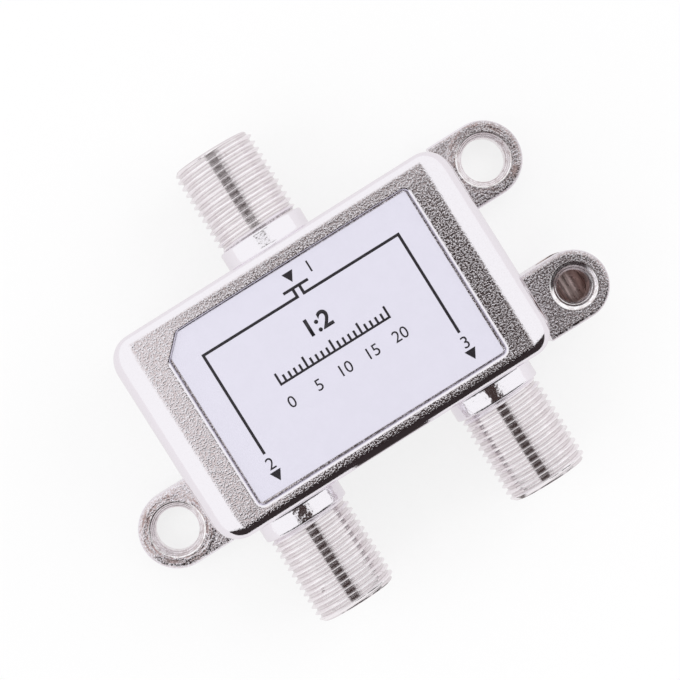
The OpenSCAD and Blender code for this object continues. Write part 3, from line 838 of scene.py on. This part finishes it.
def thread_tree():
    """Geometry nodes for a screw thread: a grid rolled into a barrel, its radius rising along a helix."""
    names = ("Crest Radius", "Root Radius", "Pitch", "Start", "End", "Mouth Radius", "Fade")
    tree, nodes, given = open_tree("screw_thread", Float=names, Int=["Rows"], Material=["Material"])
    crest, root, pitch, start, end, mouth, fade = (given[name] for name in names)
    rows = given["Rows"]
    grid = nodes.add("GeometryNodeMeshGrid",
                     {"Size X": 1.0, "Size Y": 1.0, "Vertices X": THREAD_STEPS + 1, "Vertices Y": rows})
    index = nodes.add("GeometryNodeInputIndex")
    around = (index / rows).math("FLOOR")
    along = index - around * rows
    turn = around / THREAD_STEPS
    raw = start + pitch * ((along - 1) / THREAD_ROWS + turn - 1)
    height = raw.at_least(start).at_most(end)
    phase = (height - start) / pitch - turn
    phase = phase - phase.math("FLOOR")
    across = abs(phase - 0.5) * 2
    crest_share = 0.125
    flank = (crest - root) * math.tan(math.radians(30)) * 2 / pitch
    ridge = across.ramp(crest_share, flank + crest_share, 1.0, 0.0, smooth=False)
    ridge = ridge * (height - start).ramp(0.0, fade)
    radius = (root + (crest - root) * ridge).at_most(mouth + end - height)
    # The first and the last row are the poles that close the barrel
    inside = along.math("GREATER_THAN", 0.5) * along.math("LESS_THAN", rows - 1.5)
    radius = radius * inside
    angle = turn * math.tau
    place = nodes.vector(radius * angle.math("COSINE"), radius * angle.math("SINE"), height)
    barrel = nodes.add("GeometryNodeSetPosition", {"Geometry": grid, "Position": place})
    barrel = nodes.add("GeometryNodeMergeByDistance", {"Geometry": barrel, "Distance": 0.0002 * MM})
    close_tree(nodes, given, barrel)
    return tree


def run_tree(name, tree, values, start=None):
    """Runs a geometry tree on a mesh, empty unless one is given, and keeps its result as a plain mesh."""
    item = new_object(name, start or bpy.data.meshes.new(name))
    modifier = item.modifiers.new(name, "NODES")
    modifier.node_group = tree
    for socket in tree.interface.items_tree:
        if socket.in_out == "INPUT" and socket.name in values:
            modifier[socket.identifier] = values[socket.name]
    return settle(item)


def add_port(casting, name, mount):
    """Unites one threaded port with the casting and bores it."""
    sizes = settings().ports
    casting_sizes = settings().casting
    half = casting_sizes.length / 2
    axis = Vector(mount["axis"])
    foot = Vector((mount["pos_m"][0], axis.y * half, mount["pos_m"][2]))
    low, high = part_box("housing")
    reach = (high.y if axis.y > 0 else -low.y) - half
    crest = mount["dims"]["r_mm"] * MM
    root = crest - sizes.depth
    sunk = -0.8 * MM
    flare = sizes.root_fillet
    end, edge = sizes.boss_length, sizes.boss_round
    boss = lathe(f"{name}_boss", [
        (0, sunk),
        (sizes.boss_radius + flare, sunk),
        *fillet((sizes.boss_radius + flare, flare), flare, 270, 180),
        (sizes.boss_radius, flare + NEAR),
        (sizes.boss_radius, end - edge - NEAR),
        *fillet((sizes.boss_radius - edge, end - edge), edge, 0, 90),
        (root - 0.1 * MM, end),
        (0, end),
    ])
    start = end - 0.3 * MM
    tree = bpy.data.node_groups.get("screw_thread") or thread_tree()
    thread = run_tree(f"{name}_thread", tree, {
        "Crest Radius": crest,
        "Root Radius": root,
        "Pitch": sizes.pitch,
        "Start": start,
        "End": reach,
        "Mouth Radius": crest - sizes.cone,
        "Fade": sizes.pitch * 1.2,
        "Rows": int((reach - start) / sizes.pitch + 1) * THREAD_ROWS + THREAD_ROWS + 3,
        "Material": casting_skins()[MACHINED],
    })
    back = -casting_sizes.wall - OVER
    bore = lathe(f"{name}_bore", [
        (0, back),
        (sizes.rear_radius, back),
        (sizes.rear_radius, sizes.bore_step),
        (sizes.bore_radius, sizes.bore_step),
        (sizes.bore_radius, reach - sizes.lip),
        (sizes.bore_radius + sizes.lip, reach),
        (sizes.bore_radius + sizes.lip, reach + OVER),
        (0, reach + OVER),
    ], MACHINED)
    for piece in (boss, thread, bore):
        place_on(piece, foot, axis)
    for piece, operation in ((boss, "UNION"), (thread, "UNION"), (bore, "DIFFERENCE")):
        combine(casting, piece, operation)


# Label

# Height of a digit as a share of the font's size
DIGIT_SHARE = 0.729


def flat_piece(name, outline, thickness, height):
    """A flat prism from an outline, with its foot at a height."""
    return loft(name, [[(x, y, z) for x, y in outline] for z in (height, height + thickness)])


def bar(left, bottom, right, top):
    """Outline of a printed line."""
    return [(left, bottom), (right, bottom), (right, top), (left, top)]


def lettered(name, words, height, centre, bold=0.0):
    """Printed digits as a flat mesh, centred on a point."""
    curve = bpy.data.curves.new(name, "FONT")
    curve.body = words
    curve.size = height / DIGIT_SHARE
    curve.offset = bold
    curve.resolution_u = 6
    holder = new_object(name, curve)
    graph = bpy.context.evaluated_depsgraph_get()
    mesh = bpy.data.meshes.new_from_object(holder.evaluated_get(graph), depsgraph=graph)
    bpy.data.objects.remove(holder)
    xs = [v.co.x for v in mesh.vertices]
    ys = [v.co.y for v in mesh.vertices]
    middle = Vector(((min(xs) + max(xs)) / 2, (min(ys) + max(ys)) / 2, 0))
    mesh.transform(Matrix.Translation(Vector((*centre, 0)) - middle))
    return new_object(name, mesh)


def thicken(item, thickness, height):
    """Gives a flat mesh its thickness above a height."""
    solid = item.modifiers.new("solid", "SOLIDIFY")
    solid.thickness = thickness
    solid.offset = -1
    settle(item)
    low = min(v.co.z for v in item.data.vertices)
    item.data.transform(Matrix.Translation((0, 0, height - low)))
    return item


def join(name, items):
    """Joins pieces into one object."""
    work = bmesh.new()
    for item in items:
        work.from_mesh(item.data)
        mesh = item.data
        bpy.data.objects.remove(item)
        bpy.data.meshes.remove(mesh)
    mesh = bpy.data.meshes.new(name)
    work.to_mesh(mesh)
    work.free()
    return new_object(name, mesh)


def label_outline(half_x, half_y, cut, corner):
    """Outline of the label: three small round corners and one cut."""
    points = []
    for side_x, side_y, start in ((-1, -1, 180), (1, -1, 270), (1, 1, 0)):
        centre = (side_x * (half_x - corner), side_y * (half_y - corner))
        points.extend(fillet(centre, corner, start, start + 90, 5))
    points.extend([(cut - half_x, half_y), (-half_x, half_y - cut)])
    return points


def print_outlines(sizes):
    """Outlines of the drawn marks: the branch bracket, the cap line, the arrowheads and the scale."""
    line, thin = sizes.line / 2, sizes.thin_line / 2
    half, top, foot, gap = sizes.bracket_half, sizes.bracket_top, sizes.bracket_foot, sizes.gap_half
    outlines = [bar(-sizes.cap_half, sizes.cap_height - line, sizes.cap_half, sizes.cap_height + line)]
    for side in (-1, 1):
        for left, bottom, right, high in (
            (half - line, foot, half + line, top + line),
            (gap - line, top - line, half - line, top + line),
            (gap - line, top + line, gap + line, sizes.cap_height - line),
        ):
            low, end = sorted((side * left, side * right))
            outlines.append(bar(low, bottom, end, high))
    arrow = sizes.arrow
    for x, base in ((0, 9 * MM), (-half, -7.8 * MM), (half, -7.8 * MM)):
        outlines.append([(x - arrow * 0.56, base), (x, base - arrow), (x + arrow * 0.56, base)])
    ruler, long_tick, short_tick = -0.55 * MM, 1.3 * MM, 0.8 * MM
    outlines.append(bar(-sizes.scale_half - thin, ruler - thin, sizes.scale_half + thin, ruler + thin))
    for step in range(21):
        x = sizes.scale_half * (step / 10 - 1)
        tall = long_tick if step % 5 == 0 else short_tick
        outlines.append(bar(x - thin, ruler + thin, x + thin, ruler + tall))
    return outlines


class SPLITTER_OT_label(Operator):
    """Makes the label's film and its print."""

    bl_idname = "splitter.label"
    bl_label = "Label"

    def execute(self, context):
        sizes = settings().label
        low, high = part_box("label")
        centre = Matrix.Translation(((low.x + high.x) / 2, (low.y + high.y) / 2, 0))
        skew = centre @ Matrix.Rotation(-sizes.skew, 4, "Z")
        # The skew makes the label's box larger than the label, by these lengths along X and Y
        wider, longer = 0.084 * MM, 0.13 * MM
        half_x = ((high.x - low.x) - wider) / 2
        half_y = ((high.y - low.y) - longer) / 2
        rounding = 0.05 * MM
        rings = []
        for inset, z in ((0, low.z), (0, high.z - rounding), (rounding, high.z)):
            outline = label_outline(half_x - inset, half_y - inset, sizes.cut, sizes.corner)
            rings.append([(x, y, z) for x, y in outline])
        film = loft("label_film", rings)
        film.data.transform(skew)
        film.data.materials.append(label_film())
        shade(film)
        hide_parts("label")
        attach(film, "root")

        pieces = [flat_piece("mark", outline, sizes.ink, high.z) for outline in print_outlines(sizes)]
        half = sizes.bracket_half
        numbers = [
            ("1", sizes.digits, (2.3 * MM, 8.35 * MM), 0.0),
            ("2", sizes.digits, (-half, -6.9 * MM), 0.0),
            ("3", sizes.digits, (half, -6.9 * MM), 0.0),
            ("1:2", sizes.ratio, (0.1 * MM, 2.9 * MM), 0.06 * MM),
        ]
        for step in range(5):
            x = sizes.scale_half * (step / 2 - 1)
            numbers.append((str(step * 5), sizes.scale_digits, (x, -2.65 * MM), 0.0))
        for words, height, centre, bold in numbers:
            pieces.append(thicken(lettered("digits", words, height, centre, bold), sizes.ink, high.z))
        ink = join("label_print", pieces)
        ink.data.transform(skew @ Matrix.Translation((0, sizes.print_shift, 0)))
        outward(ink.data)
        ink.data.materials.append(printed_ink())
        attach(ink, "root")
        return {"FINISHED"}


class SPLITTER_OT_back(Operator):
    """Finishes the soldered back cover."""

    bl_idname = "splitter.back"
    bl_label = "Back cover"

    def execute(self, context):
        colours = settings().finishes
        dress(["back_cover"], sheet_metal("tinned_sheet", colours.tin, 0.26, 0.05 * MM, 0.003 * MM))
        sizes = settings().casting
        low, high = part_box("solder_seam")
        middle = sizes.bead_width / 2
        corner = sizes.corner_round - sizes.rim - middle
        ring = corner_ring(high.x - middle - corner, high.y - middle - corner, corner, high.z)
        path = bpy.data.meshes.new("bead_path")
        path.from_pydata(ring, [(step, (step + 1) % len(ring)) for step in range(len(ring))], [])
        bead = run_tree("solder_bead", bead_tree(), {
            "Width": sizes.bead_width,
            "Height": sizes.bead_height,
            "Face": high.z,
            "Lowest": low.z,
            "Side": high.x,
            "End": high.y,
            "Material": sheet_metal("solder_metal", colours.solder, 0.24, 0.12 * MM, 0.001 * MM),
        }, path)
        outward(bead.data)
        shade(bead, 60)
        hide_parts("solder_seam")
        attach(bead, "root")
        return {"FINISHED"}


def bead_tree():
    """Geometry nodes for a hand-run solder bead: a flat round bar along a path, swollen here and there,
    flat on the cover's face and kept inside the rim."""
    names = ("Width", "Height", "Face", "Lowest", "Side", "End")
    tree, nodes, given = open_tree("solder_bead", Geometry=["Path"], Float=names, Material=["Material"])
    width, height, face, lowest, side, end = (given[name] for name in names)
    curve = nodes.add("GeometryNodeMeshToCurve", {"Mesh": given["Path"]})
    curve = nodes.add("GeometryNodeResampleCurve", {"Curve": curve, "Length": width / 5}, mode="LENGTH")
    profile = nodes.add("GeometryNodeCurvePrimitiveCircle", {"Resolution": 20, "Radius": 1.0})
    tube = nodes.add("GeometryNodeCurveToMesh", {"Curve": curve, "Profile Curve": profile, "Scale": width / 2})
    x, y, z = nodes.split(nodes.add("GeometryNodeInputPosition"))
    flat = nodes.vector(x, y, 0.0)
    swell = nodes.noise(flat, 420, 2.0).ramp(0.3, 0.7, 0.62, 1.0)
    beads = nodes.noise(flat, 1300, 1.0).ramp(0.35, 0.65, 0.86, 1.0)
    lift = face - (face - z) * (height / width * 2) * swell * beads
    settled = nodes.vector(x.at_most(side).at_least(0 - side), y.at_most(end).at_least(0 - end),
                           lift.at_most(face).at_least(lowest))
    close_tree(nodes, given, nodes.add("GeometryNodeSetPosition", {"Geometry": tube, "Position": settled}))
    return tree


def dress(nodes, shown):
    """Gives CAD nodes their material."""
    for node in nodes:
        for holder in frame["nodes"][node].material_slots:
            holder.material = shown


class SPLITTER_OT_inside(Operator):
    """Finishes the insulators, contacts, board and the parts on it."""

    bl_idname = "splitter.inside"
    bl_label = "Inside"

    def execute(self, context):
        colours = settings().finishes
        ports, sides = ("in", "out_1", "out_2"), ("matching", "splitting")
        insulators = [f"{end}_insulator_{port}" for end in ("front", "rear") for port in ports]
        capacitors = ("input_capacitor", "output_capacitor_1", "output_capacitor_2")
        moulded_rows = (
            ("insulator_plastic", colours.insulator, 1600, 0.36, 0.004, insulators),
            ("core_ferrite", colours.ferrite, 5200, 0.55, 0.012, [f"{side}_core" for side in sides]),
            ("wire_enamel", colours.enamel, 2400, 0.22, 0.01, [f"{side}_winding" for side in sides]),
            ("dipped_ceramic", colours.ceramic, 2600, 0.3, 0.02, capacitors),
            ("resistor_lacquer", colours.lacquer, 2200, 0.34, 0.01, ["balance_resistor"]),
        )
        metal_rows = (
            ("contact_bronze", colours.bronze, 0.22, 0.03, 0.002, [f"contact_{port}" for port in ports]),
            ("track_copper", colours.copper, 0.3, 0.01, 0.002, ["copper_tracks"]),
            ("lead_wire", colours.wire, 0.2, 0.01, 0.002, ["resistor_leads", "capacitor_leads"]),
        )
        for name, base, grain_scale, rough, grain_height, nodes in moulded_rows:
            dress(nodes, moulded(name, base, grain_scale, rough, grain_height * MM))
        for name, base, rough, ripple, scratch, nodes in metal_rows:
            dress(nodes, sheet_metal(name, base, rough, ripple * MM, scratch * MM))
        dress(["circuit_board"], board_laminate())
        dress(["solder_joints"], bpy.data.materials["solder_metal"])
        return {"FINISHED"}


# Stage

# Outlines, in millimetres, of what only the metal mirrors: two white cards, the dark hood above them, and the
# foot of the dark card in front, with a notch between the output ports
LEFT_CARD = ((-60, -15), (-13, -15), (-13, 11.8), (20, 11.8), (20, 16.5), (-22, 16.5), (-22, 50), (-60, 50))
RIGHT_CARD = ((20, 10), (26, 10), (28, 26), (20, 26))
HOOD = ((-80, -114), (80, -114), (104, -58), (40, -56), (40, -30), (72, -30), (72, 23), (40, 23), (40, 48),
        (104, 48), (104, 98), (40, 98), (38, 48), (-88, 48), (-88, -60))
FRONT_FOOT = ((-90, 15), (-5, 15), (-5, 0), (5, 0), (5, 15), (90, 15))
HOOD_HEIGHT, CARD_HEIGHT = 250, 70
WHITE = (1.0, 1.0, 1.0)


def seen_share(nodes):
    """1 for a ray from the camera, or one mirrored or passed on by the object, and 0 for the rest."""
    path = nodes.add("ShaderNodeLightPath")
    return (path["Is Camera Ray"] + path["Is Glossy Ray"] + path["Is Transmission Ray"]).at_most(1.0)


def floor_material():
    """White floor that keeps a faint shadow."""
    made, nodes, place = material("floor_white")
    shade_of_white = nodes.mix(nodes.noise(place, 6, 2.0), (0.97, 0.97, 0.97), (0.99, 0.99, 0.99))
    lit = nodes.add("ShaderNodeBsdfDiffuse", {"Color": shade_of_white})
    direct = nodes.add("ShaderNodeLightPath")["Is Camera Ray"]
    tone = nodes.mix(direct, (0.86, 0.83, 0.84), WHITE)
    glow = nodes.add("ShaderNodeEmission", {"Color": tone, "Strength": 1.0})
    mixed = nodes.add("ShaderNodeMixShader", {0: seen_share(nodes) * 0.74, 1: lit, 2: glow})
    nodes.add("ShaderNodeOutputMaterial", {"Surface": mixed})
    return made


def card_material(name, shade_low, shade_high, height, shade_far):
    """A card whose foot has another shade, and which has a third where it is mirrored more than once."""
    made, nodes, place = material(name)
    lift = nodes.split(place)[2]
    again = nodes.add("ShaderNodeLightPath")["Glossy Depth"].ramp(1.2, 1.8)
    near = nodes.mix(lift.ramp(0.0, height), shade_low, shade_high)
    glow = nodes.add("ShaderNodeEmission", {"Color": nodes.mix(again, near, shade_far), "Strength": 1.0})
    nodes.add("ShaderNodeOutputMaterial", {"Surface": glow})
    return made


def one_face(name, corners, shown):
    """An object of one face, with its material."""
    mesh = bpy.data.meshes.new(name)
    mesh.from_pydata(corners, [], [range(len(corners))])
    mesh.materials.append(shown)
    return new_object(name, mesh)


def card(name, corners, shown):
    """A card that only mirrors see, as one held outside the picture."""
    item = one_face(name, corners, shown)
    for rays in ("camera", "diffuse", "shadow", "transmission"):
        setattr(item, f"visible_{rays}", False)


def lifted(outline, height):
    """An outline in millimetres, brought to metres at a height."""
    return [(x * MM, y * MM, height * MM) for x, y in outline]


class SPLITTER_OT_stage(Operator):
    """Makes the pale floor, the soft light and the camera."""

    bl_idname = "splitter.stage"
    bl_label = "Stage"

    def execute(self, context):
        scene = context.scene
        stage = settings().stage
        reach = stage.floor_half
        low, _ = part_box("housing")
        square = [(x * reach, y * reach, low.z) for x, y in ((-1, -1), (1, -1), (1, 1), (-1, 1))]
        floor = one_face("floor", square, floor_material())

        world = bpy.data.worlds.new("studio")
        world.use_nodes = True
        world.node_tree.nodes.clear()
        nodes = Nodes(world.node_tree)
        strength = 0.82 + seen_share(nodes) * 0.18
        sky = nodes.add("ShaderNodeBackground", {"Color": (*WHITE, 1.0), "Strength": strength})
        nodes.add("ShaderNodeOutputWorld", {"Surface": sky})
        scene.world = world

        for name, side in (("soft_box_left", -1), ("soft_box_right", 1)):
            lamp = bpy.data.lights.new(name, "AREA")
            lamp.shape = "RECTANGLE"
            lamp.size = lamp.size_y = stage.light_size
            lamp.color = (1.0, 0.97, 1.0)
            lamp.energy = 0.95
            holder = new_object(name, lamp)
            holder.visible_glossy = False
            place = Vector((side * stage.light_distance, 0, stage.light_distance * 0.62))
            holder.location = place
            holder.rotation_euler = place.to_track_quat("Z", "Y").to_euler()

        dark, grey = (0.055, 0.038, 0.036), (0.8, 0.8, 0.8)
        card("camera_hood", lifted(HOOD, HOOD_HEIGHT), card_material("hood_black", dark, dark, 1.0, dark))
        white = card_material("card_white", WHITE, WHITE, 1.0, WHITE)
        for name, outline in (("left_card", LEFT_CARD), ("right_card", RIGHT_CARD)):
            card(name, lifted(outline, CARD_HEIGHT), white)
        front = card_material("front_flag_black", (0.2, 0.18, 0.17), (0.035, 0.027, 0.028), 10 * MM, grey)
        foot = [(x * MM, (-31 - z * 0.15) * MM, (z + 0.2) * MM) for x, z in FRONT_FOOT]
        card("front_flag", [*foot, *lifted(((110, -60), (-110, -60)), 190)], front)

        camera = bpy.data.cameras.new("camera")
        camera.sensor_width = 36
        camera.lens = stage.lens
        camera.clip_start = 0.01
        holder = new_object("camera", camera)
        holder.location = stage.camera_place
        holder.rotation_euler = stage.camera_turn
        scene.camera = holder
        scene.view_settings.view_transform = "Standard"
        return {"FINISHED"}


class SPLITTER_PT_panel(Panel):
    """Lists the splitter's builders."""

    bl_label = "Coaxial splitter"
    bl_idname = "SPLITTER_PT_panel"
    bl_space_type = "VIEW_3D"
    bl_region_type = "UI"
    bl_category = "Splitter"

    def draw(self, context):
        for operator in OPERATORS:
            self.layout.operator(operator.bl_idname)


GROUPS = (CastingSizes, LugSizes, PortSizes, LabelSizes, Finishes, StageSettings, SplitterSettings)
OPERATORS = (SPLITTER_OT_casting, SPLITTER_OT_label, SPLITTER_OT_back, SPLITTER_OT_inside, SPLITTER_OT_stage)


def register():
    for group in GROUPS:
        for key, entry in group.__annotations__.items():
            entry.keywords.setdefault("name", key.replace("_", " ").capitalize())
    for item in (*GROUPS, *OPERATORS, SPLITTER_PT_panel):
        bpy.utils.register_class(item)
    bpy.types.Scene.splitter = PointerProperty(type=SplitterSettings)


def unregister():
    del bpy.types.Scene.splitter
    for item in (SPLITTER_PT_panel, *reversed(OPERATORS), *reversed(GROUPS)):
        bpy.utils.unregister_class(item)


def main():
    register()
    bpy.ops.splitter.casting()
    bpy.ops.splitter.label()
    bpy.ops.splitter.back()
    bpy.ops.splitter.inside()
    bpy.ops.splitter.stage()


if __name__ == "__main__":
    main()
